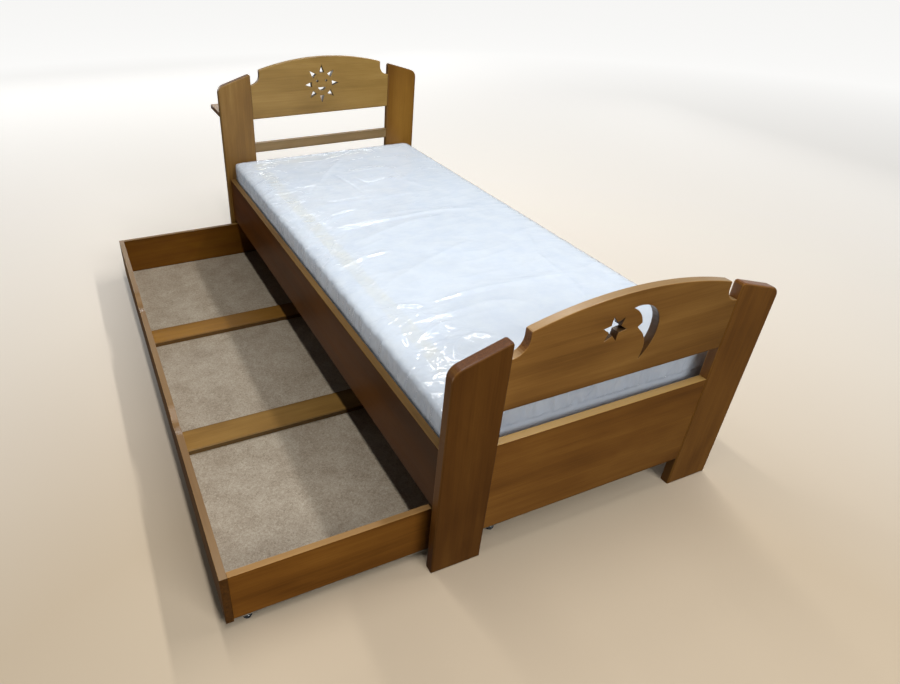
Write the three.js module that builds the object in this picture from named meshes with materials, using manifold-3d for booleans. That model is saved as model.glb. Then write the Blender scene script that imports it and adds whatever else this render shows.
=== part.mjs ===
// A single bed of stained solid wood with a full-length storage drawer that rolls out on its left side.
// Millimetres, +Z up. +X runs across the bed, +Y from the foot board to the head board.
// The origin is on the floor, under the middle of the whole bed with its drawer pulled out.

import * as THREE from "three";
import { mergeVertices } from "three/addons/utils/BufferGeometryUtils.js";
import Module from "manifold-3d";

const wasm = await Module();
wasm.setup();

// Fits
const FIT = 0.3; // between pieces that touch
const MERGE = 1e-4; // vertices nearer than this are one

// Mattress, which sets the width and the length of the frame
const MATTRESS_WIDTH = 899;
const MATTRESS_LENGTH = 2000;
const MATTRESS_THICK = 148; // at its edges
const MATTRESS_CROWN = 7;
const MATTRESS_ROUND = 14;
const MATTRESS_DRAW_IN = 1; // sides between the corners
const MATTRESS_SIDE_GAP = 1.5; // to each side rail
const MATTRESS_HEAD_GAP = 7; // to the head posts
const MATTRESS_FOOT_GAP = 23; // to the foot posts

// Posts
const POST_WIDTH = 150;
const POST_THICK = 30;
const POST_TOP_FALL = 46; // the top falls this much from the inner to the outer edge
const POST_OUTER_ROUND = 35;
const POST_INNER_ROUND = 7;
const POST_EASE = 4;

// Arched panels between the posts
const PANEL_THICK = 24;
const PANEL_EASE = 2;
const ARCH_BOTTOM = 508; // height of the foot panel's lower edge
const ARCH_HEIGHT = 249; // at the crown of the arch
const ARCH_RISE = 40; // crown above the ends of the arch
const NOTCH_RADIUS = 42; // concave quarter circle in each top corner
const NOTCH_LIP = 19; // straight edge between the notch and the arch
const POST_ABOVE_NOTCH = 7; // post's inner corner above the notch's centre
const HEAD_RISE = 155; // head board above the foot board
const ARCH_CORNER_ROUND = 5;

// Lower panels and the narrow head slat
const LOWER_BOTTOM = 105;
const LOWER_HEIGHT = 298;
const HEAD_SLAT_HEIGHT = 43;
const HEAD_SLAT_GAP = 110; // below the arched head panel

// Tenons that join the panels to the posts
const TENON_LENGTH = 28;
const TENON_THICK = 12;
const TENON_SHOULDER = 18; // from the panel's edges to the tenon

// Side rails, ledger strips and slats
const RAIL_THICK = 24;
const RAIL_HEIGHT = 200;
const RAIL_BOTTOM = 198;
const RAIL_RECESS = 15; // rail's outer face behind the post's outer face
const RAIL_EASE = 3;
const LEDGER_WIDTH = 28;
const LEDGER_HEIGHT = 30;
const LEDGER_DROP = 83; // ledger's top below the rail's top
const LEDGER_END_GAP = 8;
const SLAT_COUNT = 13;
const SLAT_WIDTH = 70;
const SLAT_THICK = 18;
const SLAT_END_MARGIN = 30; // first slat from the foot posts, last from the head posts
const SLAT_EASE = 2;

// Steel angles between the rails and the posts
const ANGLE_LEG = 40;
const ANGLE_THICK = 2.5;
const ANGLE_HEIGHT = 64;
const ANGLE_LIFT = 10; // above the rail's lower edge
const ANGLE_HOLE = 3; // radius
const ANGLE_HOLE_SPACING = 36;

// Shelf behind the head board
const SHELF_DEPTH = 168;
const SHELF_THICK = 18;
const SHELF_ABOVE_PANEL = 20; // shelf's underside above the head panel's lower edge
const SHELF_EASE = 2;
const CONSOLE_THICK = 18;
const CONSOLE_REACH = 130;
const CONSOLE_DROP = 120;
const CONSOLE_NOSE = 18; // thickness at each end of its curved edge

// Drawer
const DRAWER_PULL = 552; // how far it stands out of its closed place
const DRAWER_DEPTH = 800; // front face to back face
const DRAWER_END_GAP = 25; // to the posts, at the foot and at the head
const DRAWER_TOP_GAP = 9; // under the rail
const DRAWER_FRONT_THICK = 20;
const DRAWER_SIDE_THICK = 18;
const DRAWER_SKIRT = 9; // the front hangs this far below the ends
const DRAWER_EASE = 1.5;
const BOTTOM_THICK = 3;
const CROSS_WIDTH = 100;
const CROSS_THICK = 18;
const SCOOP_LENGTH = 165;
const SCOOP_DEPTH = 22;
const SCOOP_SPACING = 760; // between the two scoops
const SCOOP_STEPS = 16;

// Casters
const WHEEL_RADIUS = 12;
const WHEEL_WIDTH = 12;
const WHEEL_CLEAR = 2.2; // wheel to fork plate
const WHEEL_SIDE_CLEAR = 0.8; // wheel to fork ears
const HUB_RADIUS = 5;
const HUB_DISH = 1.6; // hollow between the hub and the tread
const TREAD_ROUND = 1.6;
const AXLE_RADIUS = 2;
const AXLE_HEAD_RADIUS = 3.4;
const AXLE_HEAD_THICK = 1.4;
const FORK_SHEET = 1.5;
const FORK_PLATE_LENGTH = 46;
const FORK_PLATE_WIDTH = 30;
const FORK_EAR_TOP = 26; // ear's width at the plate
const FORK_EAR_ROUND = 9; // round the axle
const FORK_SCREW_HOLE = 2.2;
const CASTER_INSET = 36; // from the drawer's front board and back face
const CASTER_END_INSET = 16; // from the drawer's end faces

// Ornaments, measured from the middle of the arched panel
const STAR = { x: -56, z: 31.5, points: 6, outer: 36, inner: 17.5, turn: -12 };
const MOON = {
  x: 35,
  z: 2.5,
  topTip: [-48, 76],
  side: [48, 3],
  bottomTip: [12, -82],
  chin: [-8, 7],
  nose: [-18, 18],
  brow: [-7, 27],
  upperRadius: 75,
  lowerRadius: 118,
  cheekRadius: 74,
  foreheadRadius: 65,
};
const SUN = {
  z: 5.5,
  rays: 8,
  rayFoot: 51,
  rayTip: 83,
  rayWidth: 23,
  eyeRadius: 5,
  eyeSide: 22,
  eyeUp: 13.5,
  mouthSide: 19,
  mouthUp: -15,
  mouthRadius: 20,
};

// Steps of the round forms
const EASE_STEPS = 2;
const ARC_STEPS = 10;
const ARCH_STEPS = 36;
const HOLE_STEPS = 12;
const WHEEL_STEPS = 24;

// Places worked out from the sizes above
const railInner = MATTRESS_WIDTH / 2 + MATTRESS_SIDE_GAP;
const railOuter = railInner + RAIL_THICK;
const halfWidth = railOuter + RAIL_RECESS; // over the posts' outer faces
const postInner = halfWidth - POST_WIDTH;
const mattressFoot = POST_THICK + MATTRESS_FOOT_GAP;
const headFace = mattressFoot + MATTRESS_LENGTH + MATTRESS_HEAD_GAP;
const headBack = headFace + POST_THICK;
const archEnd = ARCH_BOTTOM + ARCH_HEIGHT - ARCH_RISE;
const notchCentre = archEnd - NOTCH_LIP;
const postHeight = notchCentre + POST_ABOVE_NOTCH;
const panelFront = (POST_THICK - PANEL_THICK) / 2;
const railTop = RAIL_BOTTOM + RAIL_HEIGHT;
const ledgerTop = railTop - LEDGER_DROP;
const ledgerBottom = ledgerTop - LEDGER_HEIGHT;
const slatTop = ledgerTop + FIT + SLAT_THICK;
const shelfBottom = ARCH_BOTTOM + HEAD_RISE + SHELF_ABOVE_PANEL;
const shelfBack = headBack + FIT + SHELF_DEPTH;
const drawerTop = RAIL_BOTTOM - DRAWER_TOP_GAP;
const drawerFoot = POST_THICK + DRAWER_END_GAP;
const drawerHead = headFace - DRAWER_END_GAP;
const drawerLength = drawerHead - drawerFoot;
const drawerMiddle = (drawerFoot + drawerHead) / 2;
const forkTop = 2 * WHEEL_RADIUS + WHEEL_CLEAR + FORK_SHEET;
const bottomUnder = forkTop + FIT;
const sideBottom = bottomUnder + BOTTOM_THICK + FIT;
const frontBottom = sideBottom - DRAWER_SKIRT;
const drawerFace = -railOuter; // closed, the front is flush with the rail
const drawerInside = drawerFace + DRAWER_FRONT_THICK;
const drawerBack = drawerFace + DRAWER_DEPTH;

// Colours and finishes
const material = (color, roughness, metalness = 0) =>
  new THREE.MeshStandardMaterial({ color, roughness, metalness, flatShading: true });
const stainedWood = material("#5f4020", 0.42);
const lightStainedWood = material("#86693a", 0.45);
const rawWood = material("#c8a878", 0.7);
const hardboard = material("#8f8474", 0.85);
const zincSteel = material("#9a9c9e", 0.4, 0.9);
const blackPlastic = material("#1b1b1c", 0.5);
const whiteFabric = material("#d8e0ea", 0.6);

// Solids for joining and cutting

function solidOf(geometry) {
  const bare = geometry.index ? geometry.toNonIndexed() : geometry.clone();
  bare.deleteAttribute("normal");
  bare.deleteAttribute("uv");
  const merged = mergeVertices(bare, MERGE);
  return new wasm.Manifold(
    new wasm.Mesh({
      numProp: 3,
      vertProperties: merged.attributes.position.array,
      triVerts: new Uint32Array(merged.index.array),
    }),
  );
}

function geometryOf(solid) {
  const mesh = solid.getMesh();
  const geometry = new THREE.BufferGeometry();
  geometry.setAttribute("position", new THREE.BufferAttribute(new Float32Array(mesh.vertProperties), 3));
  geometry.setIndex(new THREE.BufferAttribute(new Uint32Array(mesh.triVerts), 1));
  geometry.computeVertexNormals();
  return geometry;
}

function block([x0, x1], [y0, y1], [z0, z1]) {
  const geometry = new THREE.BoxGeometry(x1 - x0, y1 - y0, z1 - z0);
  geometry.translate((x0 + x1) / 2, (y0 + y1) / 2, (z0 + z1) / 2);
  return solidOf(geometry);
}

// Outlines

function arc(centreU, centreV, radius, startDegrees, endDegrees, steps = ARC_STEPS) {
  const points = [];
  for (let i = 0; i <= steps; i += 1) {
    const angle = THREE.MathUtils.degToRad(startDegrees + ((endDegrees - startDegrees) * i) / steps);
    points.push(new THREE.Vector2(centreU + radius * Math.cos(angle), centreV + radius * Math.sin(angle)));
  }
  return points;
}

// Points of an arc from one point to another, without its last point. A positive side bulges to the left.
function arcBetween(from, to, radius, side, steps = ARC_STEPS) {
  const chord = to.clone().sub(from);
  const half = chord.length() / 2;
  const safeRadius = Math.max(radius, half);
  const height = Math.sqrt(safeRadius * safeRadius - half * half);
  const normal = new THREE.Vector2(-chord.y, chord.x).normalize();
  const centre = from.clone().add(to).multiplyScalar(0.5).addScaledVector(normal, -side * height);
  const start = from.clone().sub(centre).angle();
  let sweep = to.clone().sub(centre).angle() - start;
  if (side > 0 && sweep > 0) sweep -= 2 * Math.PI;
  if (side < 0 && sweep < 0) sweep += 2 * Math.PI;
  const points = [];
  for (let i = 0; i < steps; i += 1) {
    const angle = start + (sweep * i) / steps;
    points.push(new THREE.Vector2(Math.cos(angle), Math.sin(angle)).multiplyScalar(safeRadius).add(centre));
  }
  return points;
}

// A corner rounded with a radius, as points from one side to the other.
function roundedCorner(before, corner, after, radius, steps = ARC_STEPS) {
  const inward = before.clone().sub(corner).normalize();
  const outward = after.clone().sub(corner).normalize();
  const halfAngle = Math.acos(THREE.MathUtils.clamp(inward.dot(outward), -1, 1)) / 2;
  const reach = radius / Math.tan(halfAngle);
  const bisector = inward.clone().add(outward).normalize();
  const centre = corner.clone().addScaledVector(bisector, radius / Math.sin(halfAngle));
  const start = corner.clone().addScaledVector(inward, reach).sub(centre).angle();
  let sweep = corner.clone().addScaledVector(outward, reach).sub(centre).angle() - start;
  if (sweep > Math.PI) sweep -= 2 * Math.PI;
  if (sweep < -Math.PI) sweep += 2 * Math.PI;
  const points = [];
  for (let i = 0; i <= steps; i += 1) {
    const angle = start + (sweep * i) / steps;
    points.push(new THREE.Vector2(Math.cos(angle), Math.sin(angle)).multiplyScalar(radius).add(centre));
  }
  return points;
}

function roundedRectangle([u0, u1], [v0, v1], radius) {
  return [
    ...arc(u1 - radius, v0 + radius, radius, -90, 0, EASE_STEPS),
    ...arc(u1 - radius, v1 - radius, radius, 0, 90, EASE_STEPS),
    ...arc(u0 + radius, v1 - radius, radius, 90, 180, EASE_STEPS),
    ...arc(u0 + radius, v0 + radius, radius, 180, 270, EASE_STEPS),
  ];
}

// Extrusions of an outline with its two face edges eased

function extruded(outline, depth, ease, holes) {
  const shape = new THREE.Shape(outline);
  shape.holes = holes.map((points) => new THREE.Path(points));
  const geometry = new THREE.ExtrudeGeometry(shape, {
    depth: depth - 2 * ease,
    bevelEnabled: ease > 0,
    bevelThickness: ease,
    bevelSize: ease,
    bevelOffset: -ease,
    bevelSegments: EASE_STEPS,
  });
  return geometry.translate(0, 0, ease);
}

// The outline lies in X and Z and runs along Y.
function alongY(outline, [y0, y1], ease = 0, holes = []) {
  const geometry = extruded(outline, y1 - y0, ease, holes);
  geometry.rotateX(Math.PI / 2);
  return solidOf(geometry.translate(0, y1, 0));
}

// The outline lies in Y and Z and runs along X.
function alongX(outline, [x0, x1], ease = 0, holes = []) {
  const geometry = extruded(outline, x1 - x0, ease, holes);
  const turn = new THREE.Matrix4().makeBasis(
    new THREE.Vector3(0, 1, 0),
    new THREE.Vector3(0, 0, 1),
    new THREE.Vector3(1, 0, 0),
  );
  return solidOf(geometry.applyMatrix4(turn).translate(x0, 0, 0));
}

// Boards with eased long edges and square ends, named for the way the grain runs

function boardAlongX(xs, ys, zs, ease) {
  return alongX(roundedRectangle(ys, zs, ease), xs);
}

function boardAlongY(xs, ys, zs, ease) {
  return alongY(roundedRectangle(xs, zs, ease), ys);
}

// Posts: a wide flat board with a sloping top, well rounded at its outer corner

function mortise(side, [z0, z1], faceY) {
  const middle = faceY + POST_THICK / 2;
  const reach = TENON_LENGTH + FIT;
  const xs = side > 0 ? [postInner - 1, postInner + reach] : [-postInner - reach, 1 - postInner];
  const half = TENON_THICK / 2 + FIT;
  return block(xs, [middle - half, middle + half], [z0 - FIT, z1 + FIT]);
}

function post(side, faceY, height, tenons) {
  const point = (x, z) => new THREE.Vector2(side * x, z);
  const innerTop = point(postInner, height);
  const outerTop = point(halfWidth, height - POST_TOP_FALL);
  const outline = [
    point(postInner, 0),
    point(halfWidth, 0),
    ...roundedCorner(point(halfWidth, 0), outerTop, innerTop, POST_OUTER_ROUND),
    ...roundedCorner(outerTop, innerTop, point(postInner, 0), POST_INNER_ROUND, EASE_STEPS),
  ];
  let board = alongY(outline, [faceY, faceY + POST_THICK], POST_EASE);
  for (const range of tenons) board = board.subtract(mortise(side, range, faceY));
  return board;
}

// Panels between the posts, with a stub tenon at each end

const tenonRange = (bottom, top) => [bottom + TENON_SHOULDER, top - TENON_SHOULDER];
const slatTenonRange = (bottom, top) => [bottom + TENON_SHOULDER / 2, top - TENON_SHOULDER / 2];

function withTenons(board, faceY, [z0, z1]) {
  const middle = faceY + POST_THICK / 2;
  const reach = postInner + TENON_LENGTH;
  const tenons = block([-reach, reach], [middle - TENON_THICK / 2, middle + TENON_THICK / 2], [z0, z1]);
  const stubs = tenons.subtract(
    block([-postInner + 1, postInner - 1], [middle - PANEL_THICK, middle + PANEL_THICK], [z0 - 1, z1 + 1]),
  );
  return board.add(stubs);
}

function plainPanel(faceY, bottom, height, range) {
  const width = [-postInner + FIT, postInner - FIT];
  const ys = [faceY + panelFront, faceY + panelFront + PANEL_THICK];
  const board = boardAlongX(width, ys, [bottom, bottom + height], PANEL_EASE);
  return withTenons(board, faceY, range(bottom, bottom + height));
}

function archOutline(bottom) {
  const reach = postInner + PANEL_EASE; // trimmed later to square ends
  const lip = postInner - NOTCH_RADIUS;
  const end = bottom + ARCH_HEIGHT - ARCH_RISE;
  const centre = end - NOTCH_LIP;
  const radius = (lip * lip + ARCH_RISE * ARCH_RISE) / (2 * ARCH_RISE);
  const crown = bottom + ARCH_HEIGHT;
  const halfSweep = THREE.MathUtils.radToDeg(Math.asin(lip / radius));
  const arch = arc(0, crown - radius, radius, 90 - halfSweep, 90 + halfSweep, ARCH_STEPS);
  const right = new THREE.Vector2(lip, centre);
  const left = new THREE.Vector2(-lip, centre);
  return [
    new THREE.Vector2(-reach, bottom),
    new THREE.Vector2(reach, bottom),
    new THREE.Vector2(reach, centre - NOTCH_RADIUS),
    ...arc(postInner, centre, NOTCH_RADIUS, 270, 180),
    ...roundedCorner(right, arch[0], arch[1], ARCH_CORNER_ROUND, EASE_STEPS),
    ...arch.slice(1, -1),
    ...roundedCorner(arch[arch.length - 2], arch[arch.length - 1], left, ARCH_CORNER_ROUND, EASE_STEPS),
    ...arc(-postInner, centre, NOTCH_RADIUS, 0, -90),
    new THREE.Vector2(-reach, centre - NOTCH_RADIUS),
  ];
}

function archedPanel(faceY, bottom, ornaments) {
  const ys = [faceY + panelFront, faceY + panelFront + PANEL_THICK];
  const top = bottom + ARCH_HEIGHT;
  const holes = ornaments(bottom + ARCH_HEIGHT / 2);
  const blank = alongY(archOutline(bottom), ys, PANEL_EASE, holes);
  const width = [-postInner + FIT, postInner - FIT];
  const board = blank.intersect(block(width, [ys[0] - 1, ys[1] + 1], [bottom - 1, top + 1]));
  const notchBottom = top - ARCH_RISE - NOTCH_LIP - NOTCH_RADIUS;
  return withTenons(board, faceY, tenonRange(bottom, notchBottom));
}

// Ornaments cut through the panels, as outlines in X and Z

function starOutline(middle) {
  const points = [];
  const half = 180 / STAR.points;
  for (let i = 0; i < 2 * STAR.points; i += 1) {
    const angle = THREE.MathUtils.degToRad(STAR.turn + i * half);
    const radius = i % 2 ? STAR.inner : STAR.outer;
    points.push(new THREE.Vector2(STAR.x + radius * Math.cos(angle), middle + STAR.z + radius * Math.sin(angle)));
  }
  return points;
}

function moonOutline(middle) {
  const at = ([x, z]) => new THREE.Vector2(MOON.x + x, middle + MOON.z + z);
  const topTip = at(MOON.topTip);
  const side = at(MOON.side);
  const bottomTip = at(MOON.bottomTip);
  const chin = at(MOON.chin);
  const brow = at(MOON.brow);
  return [
    ...arcBetween(topTip, side, MOON.upperRadius, 1),
    ...arcBetween(side, bottomTip, MOON.lowerRadius, 1),
    ...arcBetween(bottomTip, chin, MOON.cheekRadius, -1),
    chin,
    at(MOON.nose),
    ...arcBetween(brow, topTip, MOON.foreheadRadius, -1),
  ];
}

function circle(x, z, radius) {
  return arc(x, z, radius, 0, 360, HOLE_STEPS).slice(0, -1);
}

function sunOutlines(middle) {
  const centre = middle + SUN.z;
  const outlines = [];
  const footHalf = THREE.MathUtils.radToDeg(Math.asin(SUN.rayWidth / 2 / SUN.rayFoot));
  for (let i = 0; i < SUN.rays; i += 1) {
    const degrees = (360 * i) / SUN.rays;
    const radians = THREE.MathUtils.degToRad(degrees);
    const tip = new THREE.Vector2(SUN.rayTip * Math.cos(radians), centre + SUN.rayTip * Math.sin(radians));
    outlines.push([...arc(0, centre, SUN.rayFoot, degrees + footHalf, degrees - footHalf, EASE_STEPS), tip]);
  }
  for (const side of [-1, 1]) outlines.push(circle(side * SUN.eyeSide, centre + SUN.eyeUp, SUN.eyeRadius));
  const left = new THREE.Vector2(-SUN.mouthSide, centre + SUN.mouthUp);
  const right = new THREE.Vector2(SUN.mouthSide, centre + SUN.mouthUp);
  outlines.push([...arcBetween(right, left, SUN.mouthRadius, 1), left]);
  return outlines;
}

// Shelf consoles: a wooden bracket with a hollowed edge, screwed to the back of each head post

function console(x) {
  const y0 = headBack + FIT;
  const z1 = shelfBottom - FIT;
  const foot = new THREE.Vector2(y0 + CONSOLE_NOSE, z1 - CONSOLE_DROP);
  const nose = new THREE.Vector2(y0 + CONSOLE_REACH, z1 - CONSOLE_NOSE);
  const outline = [
    new THREE.Vector2(y0, z1 - CONSOLE_DROP),
    ...arcBetween(foot, nose, CONSOLE_REACH, 1),
    nose,
    new THREE.Vector2(y0 + CONSOLE_REACH, z1),
    new THREE.Vector2(y0, z1),
  ];
  return alongX(outline, [x - CONSOLE_THICK / 2, x + CONSOLE_THICK / 2], SHELF_EASE);
}

// Steel angle with two screw holes in each leg

function drilled(solid, points, axis) {
  const reach = 4 * ANGLE_THICK;
  let result = solid;
  for (const [u, v, w, radius] of points) {
    const hole = new THREE.CylinderGeometry(radius, radius, reach, HOLE_STEPS);
    if (axis === "x") hole.rotateZ(Math.PI / 2);
    if (axis === "z") hole.rotateX(Math.PI / 2);
    result = result.subtract(solidOf(hole.translate(u, v, w)));
  }
  return result;
}

function railAngle(side, postFace, inward) {
  const bottom = RAIL_BOTTOM + ANGLE_LIFT;
  const zs = [bottom, bottom + ANGLE_HEIGHT];
  const span = (from, length, sign) => (sign > 0 ? [from, from + length] : [from - length, from]);
  const railX = side * (railInner - FIT);
  const postY = postFace + inward * FIT;
  const railLeg = block(span(railX, ANGLE_THICK, -side), span(postY, ANGLE_LEG, inward), zs);
  const postLeg = block(span(railX, ANGLE_LEG, -side), span(postY, ANGLE_THICK, inward), zs);
  const middle = bottom + ANGLE_HEIGHT / 2;
  const heights = [middle - ANGLE_HOLE_SPACING / 2, middle + ANGLE_HOLE_SPACING / 2];
  const farY = postY + inward * ANGLE_LEG * 0.6;
  const farX = railX - side * ANGLE_LEG * 0.6;
  const joined = railLeg.add(postLeg);
  const once = drilled(joined, heights.map((z) => [railX, farY, z, ANGLE_HOLE]), "x");
  return drilled(once, heights.map((z) => [farX, postY, z, ANGLE_HOLE]), "y");
}

// Mattress: a rounded block with a crown, its sides drawn in between the corners

function mattressLevels(half, inner, count) {
  const levels = [];
  for (let i = 3; i >= 1; i -= 1) levels.push(-(inner + (half - inner) * Math.tan(THREE.MathUtils.degToRad(15 * i))));
  for (let i = 0; i <= count; i += 1) levels.push(-inner + (2 * inner * i) / count);
  for (let i = 1; i <= 3; i += 1) levels.push(inner + (half - inner) * Math.tan(THREE.MathUtils.degToRad(15 * i)));
  return levels;
}

function mattress() {
  const half = new THREE.Vector3(MATTRESS_WIDTH / 2, MATTRESS_LENGTH / 2, MATTRESS_THICK / 2);
  const inner = half.clone().subScalar(MATTRESS_ROUND);
  const levels = [
    mattressLevels(half.x, inner.x, 6),
    mattressLevels(half.y, inner.y, 14),
    mattressLevels(half.z, inner.z, 2),
  ];
  const shaped = (point) => {
    const core = point.clone().clamp(inner.clone().negate(), inner);
    const out = point.clone().sub(core);
    if (out.length() > 0) out.setLength(MATTRESS_ROUND);
    const round = core.add(out);
    const u = round.x / half.x;
    const v = round.y / half.y;
    const lift = Math.max(0, round.z / half.z);
    round.z += MATTRESS_CROWN * lift * (1 - u * u) * (1 - v * v);
    round.x -= Math.sign(u) * MATTRESS_DRAW_IN * Math.abs(u) * (1 - v * v);
    round.y -= Math.sign(v) * MATTRESS_DRAW_IN * Math.abs(v) * (1 - u * u);
    return round;
  };
  const positions = [];
  const corner = (axes, i, j, end) => {
    const point = new THREE.Vector3();
    point.setComponent(axes[0], levels[axes[0]][i]);
    point.setComponent(axes[1], levels[axes[1]][j]);
    point.setComponent(axes[2], levels[axes[2]][end > 0 ? levels[axes[2]].length - 1 : 0]);
    return shaped(point);
  };
  for (const axes of [[0, 1, 2], [1, 2, 0], [2, 0, 1]]) {
    for (const end of [-1, 1]) {
      for (let i = 0; i + 1 < levels[axes[0]].length; i += 1) {
        for (let j = 0; j + 1 < levels[axes[1]].length; j += 1) {
          const quad = [
            corner(axes, i, j, end),
            corner(axes, i + 1, j, end),
            corner(axes, i + 1, j + 1, end),
            corner(axes, i, j + 1, end),
          ];
          if (end < 0) quad.reverse();
          for (const k of [0, 1, 2, 0, 2, 3]) positions.push(...quad[k].toArray());
        }
      }
    }
  }
  const geometry = new THREE.BufferGeometry();
  geometry.setAttribute("position", new THREE.Float32BufferAttribute(positions, 3));
  geometry.translate(0, mattressFoot + half.y, slatTop + FIT + half.z);
  return solidOf(geometry);
}

// Drawer boards

function drawerFront() {
  const dip = (centre) => {
    const points = [];
    for (let i = 0; i <= SCOOP_STEPS; i += 1) {
      const t = (2 * i) / SCOOP_STEPS - 1;
      const depth = (SCOOP_DEPTH * (1 + Math.cos(Math.PI * t))) / 2;
      points.push(new THREE.Vector2(centre - (t * SCOOP_LENGTH) / 2, drawerTop - depth));
    }
    return points;
  };
  const outline = [
    new THREE.Vector2(drawerFoot, frontBottom),
    new THREE.Vector2(drawerHead, frontBottom),
    new THREE.Vector2(drawerHead, drawerTop),
    ...dip(drawerMiddle + SCOOP_SPACING / 2),
    ...dip(drawerMiddle - SCOOP_SPACING / 2),
    new THREE.Vector2(drawerFoot, drawerTop),
  ];
  return alongX(outline, [drawerFace, drawerInside], DRAWER_EASE);
}

function drawerBackBoard() {
  const xs = [drawerBack - DRAWER_SIDE_THICK, drawerBack];
  return boardAlongY(xs, [drawerFoot, drawerHead], [sideBottom, drawerTop], DRAWER_EASE);
}

function drawerEnd(y0) {
  const xs = [drawerInside + FIT, drawerBack - DRAWER_SIDE_THICK - FIT];
  return boardAlongX(xs, [y0, y0 + DRAWER_SIDE_THICK], [sideBottom, drawerTop], DRAWER_EASE);
}

const crossMiddles = [drawerMiddle - drawerLength / 6, drawerMiddle + drawerLength / 6];

function crossBoard(middle) {
  const xs = [drawerInside + FIT, drawerBack - DRAWER_SIDE_THICK - FIT];
  const ys = [middle - CROSS_WIDTH / 2, middle + CROSS_WIDTH / 2];
  return boardAlongX(xs, ys, [sideBottom, sideBottom + CROSS_THICK], DRAWER_EASE);
}

function bottomSheet(y0, y1) {
  return block([drawerInside + FIT, drawerBack], [y0, y1], [bottomUnder, bottomUnder + BOTTOM_THICK]);
}

// Casters: a pressed steel fork, a riveted axle and a small wheel

const earOffset = WHEEL_WIDTH / 2 + WHEEL_SIDE_CLEAR;

function casterFork(x, y) {
  const plateBottom = forkTop - FORK_SHEET;
  const plate = block(
    [x - FORK_PLATE_LENGTH / 2, x + FORK_PLATE_LENGTH / 2],
    [y - FORK_PLATE_WIDTH / 2, y + FORK_PLATE_WIDTH / 2],
    [plateBottom, forkTop],
  );
  const ear = [
    ...arc(x, WHEEL_RADIUS, FORK_EAR_ROUND, 180, 360, ARC_STEPS),
    new THREE.Vector2(x + FORK_EAR_TOP / 2, forkTop),
    new THREE.Vector2(x - FORK_EAR_TOP / 2, forkTop),
  ];
  const axleHole = circle(x, WHEEL_RADIUS, AXLE_RADIUS + FIT);
  const inner = alongY(ear, [y - earOffset - FORK_SHEET, y - earOffset], 0, [axleHole]);
  const outer = alongY(ear, [y + earOffset, y + earOffset + FORK_SHEET], 0, [axleHole]);
  const screwX = (FORK_PLATE_LENGTH + FORK_EAR_TOP) / 4;
  const screws = [-screwX, screwX].map((dx) => [x + dx, y, forkTop, FORK_SCREW_HOLE]);
  return drilled(plate.add(inner).add(outer), screws, "z");
}

function turned(profile, x, y, steps) {
  const points = profile.map(([radius, along]) => new THREE.Vector2(radius, along));
  return solidOf(new THREE.LatheGeometry(points, steps).translate(x, y, WHEEL_RADIUS));
}

function casterWheel(x, y) {
  const half = WHEEL_WIDTH / 2;
  const bore = AXLE_RADIUS + FIT;
  const rim = WHEEL_RADIUS - TREAD_ROUND;
  const dishEdge = rim - 1;
  const side = [
    [rim, half],
    [dishEdge, half],
    [dishEdge - 1, half - HUB_DISH],
    [HUB_RADIUS, half - HUB_DISH],
    [HUB_RADIUS, half],
    [bore, half],
  ];
  const mirrored = side.map(([radius, along]) => [radius, -along]).reverse();
  const tread = [
    [WHEEL_RADIUS, -half + TREAD_ROUND],
    [WHEEL_RADIUS, half - TREAD_ROUND],
  ];
  return turned([...mirrored, ...tread, ...side, mirrored[0]], x, y, WHEEL_STEPS);
}

function casterAxle(x, y) {
  const shoulder = earOffset + FORK_SHEET + FIT;
  const end = shoulder + AXLE_HEAD_THICK;
  const dome = AXLE_HEAD_RADIUS * 0.6;
  return turned(
    [
      [0, -end],
      [dome, -end],
      [AXLE_HEAD_RADIUS, -shoulder],
      [AXLE_RADIUS, -shoulder],
      [AXLE_RADIUS, shoulder],
      [AXLE_HEAD_RADIUS, shoulder],
      [dome, end],
      [0, end],
    ],
    x,
    y,
    HOLE_STEPS,
  );
}

// The assembly

const bed = new THREE.Group();
const frame = new THREE.Group();
const drawer = new THREE.Group();
bed.add(frame, drawer);

function add(group, name, solid, finish) {
  const mesh = new THREE.Mesh(geometryOf(solid), finish);
  mesh.name = name;
  group.add(mesh);
}

const sides = [
  ["left", -1],
  ["right", 1],
];
const lowerTenons = tenonRange(LOWER_BOTTOM, LOWER_BOTTOM + LOWER_HEIGHT);
const archTenons = (bottom) => tenonRange(bottom, bottom + notchCentre - NOTCH_RADIUS - ARCH_BOTTOM);
const headPanelBottom = ARCH_BOTTOM + HEAD_RISE;
const headSlatBottom = headPanelBottom - HEAD_SLAT_GAP - HEAD_SLAT_HEIGHT;
const headSlatTenons = slatTenonRange(headSlatBottom, headSlatBottom + HEAD_SLAT_HEIGHT);

// Foot board
for (const [name, side] of sides) {
  const tenons = [lowerTenons, archTenons(ARCH_BOTTOM)];
  add(frame, `foot_post_${name}`, post(side, 0, postHeight, tenons), stainedWood);
}
add(frame, "foot_panel_arched", archedPanel(0, ARCH_BOTTOM, (z) => [starOutline(z), moonOutline(z)]), stainedWood);
add(frame, "foot_panel_lower", plainPanel(0, LOWER_BOTTOM, LOWER_HEIGHT, tenonRange), stainedWood);

// Head board
for (const [name, side] of sides) {
  const tenons = [lowerTenons, archTenons(headPanelBottom), headSlatTenons];
  add(frame, `head_post_${name}`, post(side, headFace, postHeight + HEAD_RISE, tenons), lightStainedWood);
}
add(frame, "head_panel_arched", archedPanel(headFace, headPanelBottom, sunOutlines), lightStainedWood);
add(frame, "head_slat", plainPanel(headFace, headSlatBottom, HEAD_SLAT_HEIGHT, slatTenonRange), lightStainedWood);
add(frame, "head_panel_lower", plainPanel(headFace, LOWER_BOTTOM, LOWER_HEIGHT, tenonRange), lightStainedWood);

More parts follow.
